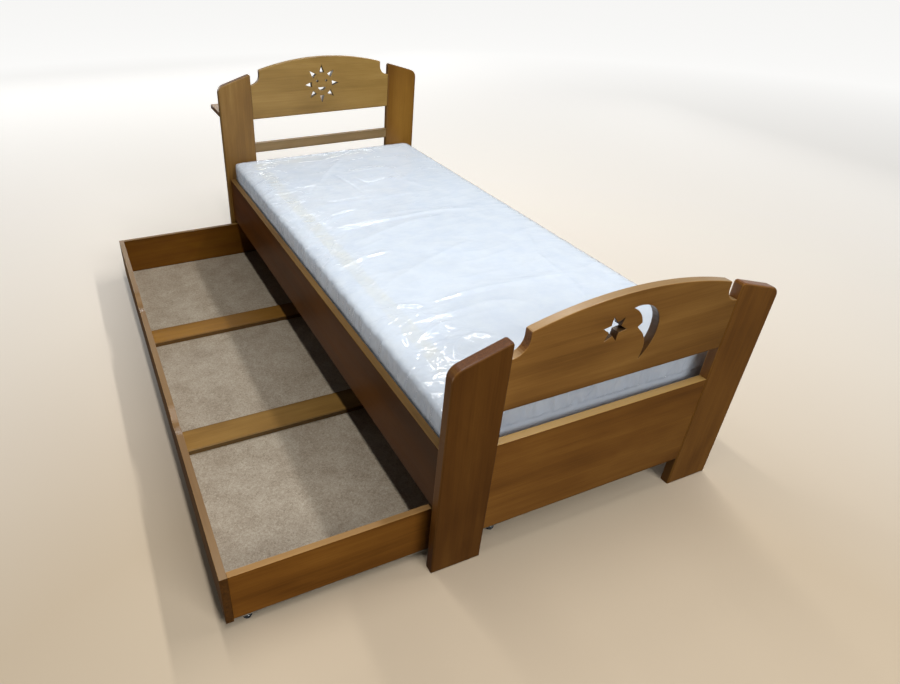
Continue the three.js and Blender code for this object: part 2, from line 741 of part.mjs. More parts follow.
// Shelf
const shelfYs = [headBack + FIT, shelfBack];
const shelfZs = [shelfBottom, shelfBottom + SHELF_THICK];
add(frame, "headboard_shelf", boardAlongX([-halfWidth, halfWidth], shelfYs, shelfZs, SHELF_EASE), lightStainedWood);
for (const [name, side] of sides) {
  add(frame, `shelf_console_${name}`, console(side * (halfWidth - POST_WIDTH / 2)), lightStainedWood);
}

// Rails with their ledger strips and steel angles
for (const [name, side] of sides) {
  const between = (inner, outer) => (side > 0 ? [inner, outer] : [-outer, -inner]);
  const railYs = [POST_THICK + FIT, headFace - FIT];
  const rail = boardAlongY(between(railInner, railOuter), railYs, [RAIL_BOTTOM, railTop], RAIL_EASE);
  add(frame, `side_rail_${name}`, rail, stainedWood);
  const ledgerXs = between(railInner - FIT - LEDGER_WIDTH, railInner - FIT);
  const ledgerYs = [POST_THICK + LEDGER_END_GAP, headFace - LEDGER_END_GAP];
  add(frame, `ledger_${name}`, boardAlongY(ledgerXs, ledgerYs, [ledgerBottom, ledgerTop], SLAT_EASE), rawWood);
  add(frame, `rail_angle_foot_${name}`, railAngle(side, POST_THICK, 1), zincSteel);
  add(frame, `rail_angle_head_${name}`, railAngle(side, headFace, -1), zincSteel);
}

// Slats
const slatReach = railInner - FIT;
const firstSlat = POST_THICK + SLAT_END_MARGIN + SLAT_WIDTH / 2;
const lastSlat = headFace - SLAT_END_MARGIN - SLAT_WIDTH / 2;
for (let i = 0; i < SLAT_COUNT; i += 1) {
  const middle = firstSlat + ((lastSlat - firstSlat) * i) / (SLAT_COUNT - 1);
  const ys = [middle - SLAT_WIDTH / 2, middle + SLAT_WIDTH / 2];
  const number = String(i + 1).padStart(2, "0");
  add(frame, `slat_${number}`, boardAlongX([-slatReach, slatReach], ys, [slatTop - SLAT_THICK, slatTop], SLAT_EASE), rawWood);
}

add(frame, "mattress", mattress(), whiteFabric);

// Drawer
add(drawer, "drawer_front", drawerFront(), stainedWood);
add(drawer, "drawer_back", drawerBackBoard(), stainedWood);
add(drawer, "drawer_end_foot", drawerEnd(drawerFoot), stainedWood);
add(drawer, "drawer_end_head", drawerEnd(drawerHead - DRAWER_SIDE_THICK), stainedWood);
add(drawer, "drawer_cross_foot", crossBoard(crossMiddles[0]), lightStainedWood);
add(drawer, "drawer_cross_head", crossBoard(crossMiddles[1]), lightStainedWood);
const seam = FIT / 2;
add(drawer, "drawer_bottom_foot", bottomSheet(drawerFoot, crossMiddles[0] - seam), hardboard);
add(drawer, "drawer_bottom_middle", bottomSheet(crossMiddles[0] + seam, crossMiddles[1] - seam), hardboard);
add(drawer, "drawer_bottom_head", bottomSheet(crossMiddles[1] + seam, drawerHead), hardboard);

const casterXs = { front: drawerInside + CASTER_INSET, back: drawerBack - CASTER_INSET };
const casterYs = { foot: drawerFoot + CASTER_END_INSET, head: drawerHead - CASTER_END_INSET };
for (const [across, x] of Object.entries(casterXs)) {
  for (const [along, y] of Object.entries(casterYs)) {
    add(drawer, `caster_fork_${across}_${along}`, casterFork(x, y), zincSteel);
    add(drawer, `caster_axle_${across}_${along}`, casterAxle(x, y), zincSteel);
    add(drawer, `caster_wheel_${across}_${along}`, casterWheel(x, y), blackPlastic);
  }
}
drawer.position.x = -DRAWER_PULL;

// The origin goes under the middle of the whole.
const leftmost = Math.min(-halfWidth, drawerFace - DRAWER_PULL);
const rightmost = Math.max(halfWidth, drawerBack - DRAWER_PULL);
bed.position.set(-(leftmost + rightmost) / 2, -shelfBack / 2, 0);

export default bed;
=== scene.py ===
"""Looks of a stained wooden storage bed with its drawer rolled out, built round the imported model."""

import math
import random

import bmesh
import bpy
import numpy as np
from mathutils import Matrix, Vector


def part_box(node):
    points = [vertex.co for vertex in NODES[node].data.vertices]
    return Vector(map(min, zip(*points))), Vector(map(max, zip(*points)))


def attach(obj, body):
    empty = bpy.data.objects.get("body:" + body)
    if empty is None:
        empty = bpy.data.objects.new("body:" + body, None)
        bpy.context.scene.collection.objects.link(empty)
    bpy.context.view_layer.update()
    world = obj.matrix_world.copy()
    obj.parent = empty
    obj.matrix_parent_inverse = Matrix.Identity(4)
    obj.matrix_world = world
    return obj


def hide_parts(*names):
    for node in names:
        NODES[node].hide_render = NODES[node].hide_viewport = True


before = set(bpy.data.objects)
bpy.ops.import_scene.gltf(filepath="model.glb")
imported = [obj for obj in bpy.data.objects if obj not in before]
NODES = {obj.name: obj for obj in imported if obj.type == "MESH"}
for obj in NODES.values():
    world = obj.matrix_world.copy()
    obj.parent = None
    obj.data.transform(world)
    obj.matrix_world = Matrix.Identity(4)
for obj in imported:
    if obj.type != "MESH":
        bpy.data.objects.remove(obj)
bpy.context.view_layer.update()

MM = 0.001
X, Y, Z = 0, 1, 2

# The photo's camera, in the model's own frame, from a fit to the photo's corners
CAMERA_PLACE = (-0.8424, -2.0460, 1.4678)
CAMERA_YAW = math.radians(-23.73)
CAMERA_PITCH = math.radians(-33.74)
CAMERA_ROLL = math.radians(0.58)
CAMERA_LENS = 25.85
CAMERA_SHIFT = (0.1017, 0.0)


# Camera

def make_camera():
    forward = Vector((
        -math.sin(CAMERA_YAW) * math.cos(CAMERA_PITCH),
        math.cos(CAMERA_YAW) * math.cos(CAMERA_PITCH),
        math.sin(CAMERA_PITCH),
    ))
    right = Vector((math.cos(CAMERA_YAW), math.sin(CAMERA_YAW), 0.0))
    up = right.cross(forward)
    cos_roll, sin_roll = math.cos(CAMERA_ROLL), math.sin(CAMERA_ROLL)
    rolled_right = right * cos_roll + up * sin_roll
    rolled_up = up * cos_roll - right * sin_roll
    data = bpy.data.cameras.new("camera")
    data.sensor_width = 36.0
    data.sensor_fit = "HORIZONTAL"
    data.lens = CAMERA_LENS
    data.shift_x, data.shift_y = CAMERA_SHIFT
    data.clip_end = 60.0
    camera = bpy.data.objects.new("camera", data)
    turn = Matrix((rolled_right, rolled_up, -forward)).transposed().to_4x4()
    camera.matrix_world = Matrix.Translation(Vector(CAMERA_PLACE)) @ turn
    bpy.context.scene.collection.objects.link(camera)
    bpy.context.scene.camera = camera


make_camera()


# Node helpers

class Tree:
    """A material's node tree, with short calls for the nodes that the finishes share."""

    def __init__(self, name):
        self.material = bpy.data.materials.new(name)
        self.material.use_nodes = True
        self.nodes = self.material.node_tree.nodes
        self.links = self.material.node_tree.links
        self.nodes.clear()
        self.out = self.nodes.new("ShaderNodeOutputMaterial")
        self.shader = self.nodes.new("ShaderNodeBsdfPrincipled")
        self.links.new(self.shader.outputs[0], self.out.inputs[0])

    def put(self, socket, value):
        if hasattr(value, "is_output"):
            self.links.new(value, socket)
        elif value is not None:
            socket.default_value = value

    def node(self, kind, **settings):
        made = self.nodes.new("ShaderNode" + kind)
        for key, value in settings.items():
            setattr(made, key, value)
        return made

    def math(self, operation, a, b=None, c=None):
        made = self.node("Math", operation=operation)
        for socket, value in zip(made.inputs, (a, b, c)):
            self.put(socket, value)
        return made.outputs[0]

    def vector(self, operation, a, b=None):
        made = self.node("VectorMath", operation=operation)
        self.put(made.inputs[0], a)
        if b is not None:
            self.put(made.inputs[1], b)
        return made.outputs[0]

    def product(self, first, *others):
        for other in others:
            first = self.math("MULTIPLY", first, other)
        return first

    def place(self):
        return self.node("TexCoord").outputs["Object"]

    def facing(self):
        return self.split(self.node("TexCoord").outputs["Normal"])

    def split(self, vector):
        made = self.node("SeparateXYZ")
        self.put(made.inputs[0], vector)
        return made.outputs

    def off_middle(self, coordinate, low, high):
        """How far a coordinate lies from the middle of its range."""
        return self.math("ABSOLUTE", self.math("SUBTRACT", coordinate, (high + low) / 2))

    def mapped(self, vector, scale=(1, 1, 1), offset=(0, 0, 0), turn=(0, 0, 0)):
        made = self.node("Mapping")
        self.put(made.inputs["Vector"], vector)
        made.inputs["Scale"].default_value = scale
        made.inputs["Location"].default_value = offset
        made.inputs["Rotation"].default_value = turn
        return made.outputs[0]

    def noise(self, vector, scale, detail=3.0, roughness=0.5, distortion=0.0):
        made = self.node("TexNoise")
        self.put(made.inputs["Vector"], vector)
        made.inputs["Scale"].default_value = scale
        made.inputs["Detail"].default_value = detail
        made.inputs["Roughness"].default_value = roughness
        made.inputs["Distortion"].default_value = distortion
        return made.outputs["Fac"]

    def ramp(self, value, stops):
        made = self.node("ValToRGB")
        ramp = made.color_ramp
        while len(ramp.elements) < len(stops):
            ramp.elements.new(0.5)
        for element, (at, colour) in zip(ramp.elements, stops):
            element.position = at
            if isinstance(colour, (int, float)):
                colour = (colour, colour, colour)
            element.color = (*colour[:3], 1.0)
        self.put(made.inputs[0], value)
        return made.outputs[0]

    def span(self, value, low, high, to_low=0.0, to_high=1.0, smooth=False):
        made = self.node("MapRange", clamp=True)
        if smooth:
            made.interpolation_type = "SMOOTHSTEP"
        self.put(made.inputs[0], value)
        for socket, number in zip(list(made.inputs)[1:5], (low, high, to_low, to_high)):
            self.put(socket, number)
        return made.outputs[0]

    def mix(self, factor, a, b, blend="MIX"):
        made = self.node("Mix", data_type="RGBA", blend_type=blend)
        self.put(made.inputs[0], factor)
        for socket, value in ((made.inputs[6], a), (made.inputs[7], b)):
            if isinstance(value, tuple):
                value = (*value[:3], 1.0)
            self.put(socket, value)
        return made.outputs[2]

    def bump(self, height, strength, distance):
        made = self.node("Bump")
        made.inputs["Strength"].default_value = strength
        made.inputs["Distance"].default_value = distance
        self.put(made.inputs["Height"], height)
        return made.outputs[0]

    def finish(self, **sockets):
        for name, value in sockets.items():
            socket = self.shader.inputs[name.replace("_", " ")]
            if isinstance(value, tuple) and len(value) == 3:
                value = (*value, 1.0)
            self.put(socket, value)
        return self.material


def srgb(red, green, blue):
    """A colour given as it looks on a screen, from 0 to 255, as light values."""
    out = []
    for value in (red, green, blue):
        value /= 255.0
        out.append(value / 12.92 if value <= 0.04045 else ((value + 0.055) / 1.055) ** 2.4)
    return tuple(out)


def dimmed(colour, share):
    return tuple(value * share for value in colour)


# Wood

DARK_STAIN = (srgb(98, 62, 20), srgb(126, 84, 30), srgb(150, 106, 42))
RAIL_STAIN = (srgb(78, 48, 20), srgb(100, 64, 27), srgb(120, 80, 36))
POST_STAIN = (srgb(118, 82, 36), srgb(152, 112, 52), srgb(180, 140, 76))
OLIVE_STAIN = (srgb(138, 112, 60), srgb(164, 136, 78), srgb(186, 158, 98))
GOLD_STAIN = (srgb(126, 90, 34), srgb(156, 116, 50), srgb(180, 140, 66))
TOP_HIGHLIGHT = srgb(160, 128, 74) # painted highlight on the upward faces, where the light falls from above
# Painted highlight colours on the upward faces of these parts
TOP_HIGHLIGHTS = {
    "foot_panel_arched": srgb(150, 134, 102),
    "foot_panel_lower": srgb(190, 164, 100),
    "drawer_front": srgb(150, 128, 98),
    "drawer_end_foot": srgb(165, 142, 98),
}
END_GRAIN = 0.62 # end grain drinks more stain, so it's this much darker
TONING = 22.0 * MM # width of the darker toning along a board's edges
TONING_DEPTH = 0.28
STAIN_LINE = 6.0 * MM # width of the line where stain gathers on the long edges
STAIN_LINE_DEPTH = 0.5
FLAT_SIDE_SHADE = 0.75 # how dark the painted shade on the narrow sides of a board that lies flat is
PORE_DEPTH = 0.22
WEAR_AND_HIGHLIGHT = 0.45 # how much lighter the eased edges are: rubbed through the stain, and a painted highlight line
TOP_HIGHLIGHT_SHARE = (0.30, 0.62) # of the painted top highlight's colour, from dark to light figure
CUT_REACH = 0.25 # the cut-outs lie this near the middle of a panel,
CUT_MARGIN = (30.0 * MM, 45.0 * MM) # and this far from its bottom and its top
CUT_BLUR = 5.0 * MM
CUT_SHADE_DEPTH = 0.85 # how dark the painted shade on the cut-outs' walls is
CUT_PANELS = ("foot_panel_arched", "head_panel_arched")

# How each kind of figure is stretched along the grain, its scale, and its weight in the tone
STAVE = (0.035, 13.0, 0.45)
STREAK = (0.035, 55.0, 0.32)
FIBRE = (0.02, 240.0, 0.32)
CLOUD = (0.35, 6.0, 0.9)
PORE = (0.03, 700.0)

# Painted light and shade along a board: the share of its colour drawn at one end, and at the other
PAINTED_DRIFT = {
    "foot_panel_arched": (1.22, 0.82),
    "foot_panel_lower": (1.04, 0.82),
    "drawer_end_foot": (1.18, 0.70),
    "drawer_cross_foot": (1.06, 0.72),
    "drawer_cross_head": (1.06, 0.80),
    "side_rail_left": (0.92, 1.30),
}


def cut_wall_shade(t, at, flat_on, low, high):
    """Share of the painted shade on the walls of a panel's cut-outs."""
    bottom = low[Z] + CUT_MARGIN[0]
    top = high[Z] - CUT_MARGIN[1]
    near = t.span(t.off_middle(at[X], low[X], high[X]), CUT_REACH, CUT_REACH + CUT_BLUR, 1.0, 0.0)
    above = t.span(at[Z], bottom, bottom + CUT_BLUR)
    below = t.span(at[Z], top - CUT_BLUR, top, 1.0, 0.0)
    return t.product(near, t.product(above, below), t.span(flat_on, 0.4, 0.7, CUT_SHADE_DEPTH, 0.0))


def stained_wood(name, node, grain, thin, stain, seed, gloss=1.0):
    """Stained and lacquered board: grain runs along one axis, and its thickness along another."""
    t = Tree(name)
    rng = random.Random(seed)
    offset = tuple(rng.uniform(-8, 8) for _ in range(3))
    turn = tuple(math.radians(rng.uniform(-1.2, 1.2)) for _ in range(3))
    wide = 3 - grain - thin
    low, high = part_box(node)
    place = t.place()
    moved = t.mapped(place, offset=offset, turn=turn)

    def stretched(amount):
        scale = [1.0, 1.0, 1.0]
        scale[grain] = amount
        return t.mapped(moved, scale=tuple(scale))

    stave = t.noise(stretched(STAVE[0]), STAVE[1], 2.0, 0.45, 0.5)
    streak = t.noise(stretched(STREAK[0]), STREAK[1], 4.0, 0.6, 0.35)
    fibre = t.noise(stretched(FIBRE[0]), FIBRE[1], 4.0, 0.65)
    cloud = t.noise(stretched(CLOUD[0]), CLOUD[1], 3.0, 0.55, 0.3)
    pore = t.noise(stretched(PORE[0]), PORE[1], 2.0, 0.6)

    tone = 0.5
    for part, kind in ((stave, STAVE), (streak, STREAK), (fibre, FIBRE), (cloud, CLOUD)):
        tone = t.math("MULTIPLY_ADD", t.math("SUBTRACT", part, 0.5), kind[2], tone)
    dark, middle, light = stain
    colour = t.ramp(tone, [(0.22, dark), (0.50, middle), (0.80, light)])
    pores = t.span(pore, 0.60, 0.72)
    colour = t.mix(t.product(pores, PORE_DEPTH), colour, dimmed(dark, 0.45))

    # Darker toning towards the long edges and the ends
    at = t.split(place)
    shade = None
    for axis in (wide, grain):
        half = (high[axis] - low[axis]) / 2
        edge = t.span(t.off_middle(at[axis], low[axis], high[axis]), half - TONING, half, smooth=True)
        shade = edge if shade is None else t.math("MAXIMUM", shade, edge)
    uneven = t.span(cloud, 0.35, 0.65, 0.4, 1.0)
    colour = t.mix(t.product(shade, uneven, TONING_DEPTH), colour, dark)

    # Stain gathers in a narrow line along the long edges
    facing = t.facing()
    flat_on = t.math("ABSOLUTE", facing[thin])
    half = (high[wide] - low[wide]) / 2
    out = t.off_middle(at[wide], low[wide], high[wide])
    gathered = t.span(out, half - STAIN_LINE, half - 0.2 * STAIN_LINE, 0.0, STAIN_LINE_DEPTH, smooth=True)
    gathered = t.product(gathered, t.span(flat_on, 0.75, 0.95))
    colour = t.mix(gathered, colour, dimmed(dark, 0.4))

    # The eased edges are rubbed lighter and carry a painted highlight line; the upward faces get a painted
    # highlight; the sides of flat boards and the walls of the cut-outs get painted shade
    wear_and_highlight = t.product(t.span(flat_on, 0.15, 0.35), t.span(flat_on, 0.85, 0.97, 1.0, 0.0))
    colour = t.mix(t.product(wear_and_highlight, WEAR_AND_HIGHLIGHT), colour, light)
    if thin != Z:
        # Painted highlight on the upward faces
        lit_top = t.product(t.span(facing[Z], 0.5, 0.9), t.span(tone, 0.2, 0.8, *TOP_HIGHLIGHT_SHARE))
        colour = t.mix(lit_top, colour, TOP_HIGHLIGHTS.get(node, TOP_HIGHLIGHT))
    else:
        # Painted shade on the narrow sides of a board that lies flat
        colour = t.mix(t.span(flat_on, 0.1, 0.3, FLAT_SIDE_SHADE, 0.0), colour, dimmed(dark, 0.4))
    end_share = 1.0
    if node in CUT_PANELS:
        # Painted shade on the walls of the cut-outs
        wall_shade = cut_wall_shade(t, at, flat_on, low, high)
        colour = t.mix(wall_shade, colour, dimmed(dark, 0.28))
        end_share = t.math("SUBTRACT", 1.0, wall_shade)

    # End grain is darker and redder
    end_on = t.span(t.math("ABSOLUTE", facing[grain]), 0.62, 0.85)
    rings = t.noise(t.mapped(moved, scale=(1.0, 2.2, 1.0)), 160.0, 4.0, 0.6, 0.6)
    end = t.ramp(rings, [
        (0.3, tuple(c * END_GRAIN * w for c, w in zip(dark, (1.0, 0.9, 1.1)))),
        (0.7, tuple(c * END_GRAIN * w for c, w in zip(light, (1.0, 0.85, 1.0)))),
    ])
    colour = t.mix(t.product(end_on, end_share), colour, end)
    # Painted light and shade from one end of the board to the other
    painted_drift = t.span(at[grain], low[grain], high[grain], *PAINTED_DRIFT.get(node, (1.0, 1.0)))
    colour = t.mix(1.0, colour, painted_drift, "MULTIPLY")

    height = t.math("MULTIPLY_ADD", pores, -0.5, t.product(fibre, 0.6))
    return t.finish(
        Base_Color=colour,
        Roughness=t.math("MULTIPLY_ADD", streak, 0.14, 0.33),
        Normal=t.bump(height, 0.10, 0.4 * MM),
        Specular_IOR_Level=0.32 * gloss,
        Coat_Weight=0.12 * gloss,
        Coat_Roughness=0.25,
    )


FIBRE_SHARE = 0.40 # how strongly dark and pale fibres show in the hardboard


def hardboard_finish(name):
    t = Tree(name)
    place = t.place()
    fleck = t.noise(place, 170.0, 4.0, 0.7, 1.2)
    cloud = t.noise(place, 16.0, 3.0, 0.6, 0.3)
    tint = t.math("MULTIPLY_ADD", t.math("SUBTRACT", cloud, 0.5), 0.35, fleck)
    colour = t.ramp(tint, [
        (0.34, srgb(131, 117, 99)),
        (0.50, srgb(157, 145, 127)),
        (0.66, srgb(176, 166, 149)),
    ])
    across = t.noise(t.mapped(place, scale=(1.0, 2.6, 1.0)), 260.0, 3.0, 0.7, 2.0)
    along = t.noise(t.mapped(place, scale=(2.4, 1.0, 1.0)), 300.0, 3.0, 0.7, 2.0)
    colour = t.mix(t.span(across, 0.62, 0.70, 0.0, FIBRE_SHARE), colour, srgb(96, 76, 54))
    colour = t.mix(t.span(along, 0.63, 0.70, 0.0, FIBRE_SHARE), colour, srgb(206, 196, 180))
    return t.finish(
        Base_Color=colour,
        Roughness=t.span(cloud, 0.3, 0.7, 0.45, 0.58),
        Normal=t.bump(fleck, 0.15, 0.3 * MM),
    )


def raw_wood_finish(name, grain, seed):
    t = Tree(name)
    rng = random.Random(seed)
    offset = tuple(rng.uniform(-8, 8) for _ in range(3))
    stretch = [1.0, 1.0, 1.0]
    stretch[grain] = 0.05
    along = t.mapped(t.mapped(t.place(), offset=offset), scale=tuple(stretch))
    rings = t.noise(along, 26.0, 3.0, 0.5, 0.8)
    fibre = t.noise(along, 300.0, 2.0, 0.5)
    colour = t.ramp(rings, [
        (0.35, srgb(178, 138, 88)),
        (0.50, srgb(205, 168, 116)),
        (0.65, srgb(222, 190, 140)),
    ])
    return t.finish(
        Base_Color=colour,
        Roughness=t.span(rings, 0.3, 0.7, 0.6, 0.75),
        Normal=t.bump(fibre, 0.2, 0.3 * MM),
    )


def zinc_finish(name):
    t = Tree(name)
    spangle = t.noise(t.place(), 320.0, 3.0, 0.6)
    rub = t.noise(t.mapped(t.place(), scale=(1.0, 1.0, 0.2)), 900.0, 2.0, 0.5)
    colour = t.ramp(spangle, [(0.35, srgb(140, 142, 144)), (0.65, srgb(188, 190, 190))])
    return t.finish(
        Base_Color=colour,
        Metallic=1.0,
        Roughness=t.span(spangle, 0.3, 0.7, 0.28, 0.48),
        Normal=t.bump(rub, 0.1, 0.1 * MM),
    )


def plastic_finish(name, colour, roughness):
    t = Tree(name)
    speck = t.noise(t.place(), 1400.0, 2.0, 0.5)
    tone = t.span(speck, 0.3, 0.7, 0.85, 1.1)
    made = t.mix(1.0, colour, t.ramp(tone, [(0.0, 0.0), (1.0, 1.0)]), "MULTIPLY")
    return t.finish(
        Base_Color=made,
        Roughness=roughness,
        Normal=t.bump(speck, 0.15, 0.1 * MM),
    )


# Scales a stain's colour for one part: its own tone and painted light and shade together
def stain_with_painted_light(stain, red, green, blue):
    return tuple((r * red, g * green, b * blue) for r, g, b in stain)


def put(node, material):
    mesh = NODES[node].data
    mesh.materials.clear()
    mesh.materials.append(material)


# Axis of the grain and of the thickness, and the stain, scaled for each part partly to its own tone and
# partly as painted light and shade: lighter on lit parts, darker on shaded ones
BOARDS = {
    "foot_post_left": (Z, Y, stain_with_painted_light(DARK_STAIN, 0.78, 0.68, 0.70)),
    "foot_post_right": (Z, Y, stain_with_painted_light(DARK_STAIN, 1.23, 1.19, 1.45)),
    "foot_panel_arched": (X, Y, stain_with_painted_light(DARK_STAIN, 1.38, 1.45, 2.1)),
    "foot_panel_lower": (X, Y, stain_with_painted_light(DARK_STAIN, 1.36, 1.27, 1.45)),
    "head_post_left": (Z, Y, stain_with_painted_light(POST_STAIN, 0.73, 0.73, 0.72)),
    "head_post_right": (Z, Y, stain_with_painted_light(POST_STAIN, 0.60, 0.50, 0.26)),
    "head_panel_arched": (X, Y, stain_with_painted_light(OLIVE_STAIN, 0.82, 0.73, 0.60)),
    "head_panel_lower": (X, Y, stain_with_painted_light(OLIVE_STAIN, 0.80, 0.70, 0.56)),
    "head_slat": (X, Y, stain_with_painted_light(OLIVE_STAIN, 0.60, 0.57, 0.72)),
    "headboard_shelf": (X, Z, POST_STAIN),
    "shelf_console_left": (Y, X, POST_STAIN),
    "shelf_console_right": (Y, X, POST_STAIN),
    "side_rail_left": (Y, X, stain_with_painted_light(RAIL_STAIN, 0.56, 0.42, 0.18)),
    "side_rail_right": (Y, X, stain_with_painted_light(RAIL_STAIN, 0.80, 0.62, 0.50)),
    "drawer_front": (Y, X, DARK_STAIN),
    "drawer_back": (Y, X, DARK_STAIN),
    "drawer_end_foot": (X, Y, stain_with_painted_light(DARK_STAIN, 1.48, 1.32, 1.30)),
    "drawer_end_head": (X, Y, stain_with_painted_light(DARK_STAIN, 0.62, 0.53, 0.18)),
    "drawer_cross_foot": (X, Z, stain_with_painted_light(GOLD_STAIN, 0.78, 0.80, 0.98)),
    "drawer_cross_head": (X, Z, stain_with_painted_light(GOLD_STAIN, 0.75, 0.67, 0.55)),
}
SATIN_GLOSS = 0.45
SATIN = ("side_rail_left", "side_rail_right", "drawer_end_foot", "drawer_end_head")


def dress_nodes():
    for number, (node, (grain, thin, stain)) in enumerate(BOARDS.items()):
        gloss = SATIN_GLOSS if node in SATIN else 1.0
        put(node, stained_wood("stained_" + node, node, grain, thin, stain, 40 + number, gloss))
    for node in NODES:
        if node.startswith(("slat_", "ledger_")):
            grain = Y if node.startswith("ledger") else X
            put(node, raw_wood_finish("raw_" + node, grain, sum(map(ord, node))))
        elif node.startswith("drawer_bottom"):
            put(node, hardboard_finish("hardboard_" + node))
        elif node.startswith(("rail_angle", "caster_fork", "caster_axle")):
            put(node, zinc_finish("zinc_" + node))
        elif node.startswith("caster_wheel"):
            put(node, plastic_finish("wheel_" + node, srgb(34, 34, 36), 0.45))


dress_nodes()


# Mattress: a padded core under a loose clear film

PAD_INSET = (4.0 * MM, 4.0 * MM, 2.5 * MM) # core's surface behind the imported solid's
PAD_VOXEL = 10.5 * MM
PAD_PRESSURE = 4.0
PAD_FRAMES = 20
PAD_CAP = 2.2 * MM # how far the cloth may swell a point
PAD_STIFFNESS = 30.0
CROWN = 7.0 * MM # rise of the top's middle over its edges
SLUMP = 34.0 * MM # rounding of the left top edge
FILM_LIFT = 0.9 * MM # film over the core where it lies flat
FILM_GAP = 0.6 * MM # room for the film under the core
FILM_LIMIT = 11.5 # how far the film may stand off, in millimetres,
HEAD_LIMIT = 4.0 # and at the head, next to the posts
RAIL_LEAN = 3.4 # how far it stands off at the sides, towards the rails
RAIL_ROOM = 1.2 * MM # it stays this near to the mattress's sides
RAIL_CLEAR = 5.5 * MM # up to this height over the rails
TUCK = (0.5 * MM, 8.0 * MM) # above the rail, where the film comes free of it
HELD = 0.08 # share of its folds that the film keeps below that
FOLD_GAIN = 1.8
EDGE_SLACK = 2.5 # extra slack at the rounded top edges, in millimetres
PUCKER_HEIGHT = 7.5
RIGHT_TAUT = 5.5 # how much lower the puckers are on the right side
FAN_HEIGHT = 2.6 # where the puckers fan out over the top
FAN_REACH = 90.0
RAIL_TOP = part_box("side_rail_left")[1][2]
TINY = 1e-9


def new_object(name, mesh):
    made = bpy.data.objects.new(name, mesh)
    bpy.context.scene.collection.objects.link(made)
    return made


def with_modifiers_applied(piece):
    graph = bpy.context.evaluated_depsgraph_get()
    mesh = bpy.data.meshes.new_from_object(piece.evaluated_get(graph))
    piece.modifiers.clear()
    old = piece.data
    piece.data = mesh
    mesh.name = piece.name
    bpy.data.meshes.remove(old)


def places(mesh):
    flat = np.empty(len(mesh.vertices) * 3, dtype=np.float64)
    mesh.vertices.foreach_get("co", flat)
    return flat.reshape(-1, 3)


def set_places(mesh, points):
    mesh.vertices.foreach_set("co", points.ravel())
    mesh.update()


def normals(mesh):
    flat = np.empty(len(mesh.vertices) * 3, dtype=np.float64)
    mesh.vertex_normals.foreach_get("vector", flat)
    return flat.reshape(-1, 3)


def swell(piece, pressure, frames, cap):
    """Blows the piece up like a pillow, with every point's travel capped."""
    before = places(piece.data)
    cloth = piece.modifiers.new("swell", "CLOTH")
    cloth.settings.use_pressure = True
    cloth.settings.uniform_pressure_force = pressure
    cloth.settings.effector_weights.gravity = 0.0
    cloth.settings.tension_stiffness = PAD_STIFFNESS
    cloth.settings.compression_stiffness = PAD_STIFFNESS
    cloth.point_cache.frame_start = 1
    cloth.point_cache.frame_end = frames
    scene = bpy.context.scene
    for number in range(1, frames + 1):
        scene.frame_set(number)
    graph = bpy.context.evaluated_depsgraph_get()
    after = places(piece.evaluated_get(graph).data)
    piece.modifiers.clear()
    scene.frame_set(1)
    move = after - before
    length = np.linalg.norm(move, axis=1, keepdims=True)
    set_places(piece.data, before + move * np.minimum(1.0, cap / np.maximum(length, TINY)))


def slumped(points, low, high):
    """Rounds the left top edge further, where the film has pulled the foam in."""
    centre = np.array((low[X] + SLUMP, high[Z] - CROWN - SLUMP))
    arm = points[:, (X, Z)] - centre
    length = np.hypot(arm[:, 0], arm[:, 1])
    reach = SLUMP - PAD_INSET[X]
    corner = (arm[:, 0] < 0) & (arm[:, 1] > 0) & (length > reach)
    kept = np.where(corner, reach / np.maximum(length, TINY), 1.0)
    points[:, X] = centre[0] + arm[:, 0] * kept
    points[:, Z] = centre[1] + arm[:, 1] * kept
    return points


def make_core():
    node = NODES["mattress"]
    low, high = (np.array(corner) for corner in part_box("mattress"))
    middle = (low + high) / 2
    half = (high - low) / 2
    mesh = node.data.copy()
    mesh.name = "mattress_core"
    core = new_object("mattress_core", mesh)
    set_places(mesh, middle + (places(mesh) - middle) * (half - np.array(PAD_INSET)) / half)
    remesh = core.modifiers.new("voxels", "REMESH")
    remesh.mode = "VOXEL"
    remesh.voxel_size = PAD_VOXEL
    with_modifiers_applied(core)
    swell(core, PAD_PRESSURE, PAD_FRAMES, PAD_CAP)
    points = slumped(places(core.data), low, high)
    points[:, Z] = np.maximum(points[:, Z], low[Z] + FILM_LIFT + FILM_GAP)
    set_places(core.data, points)
    return core


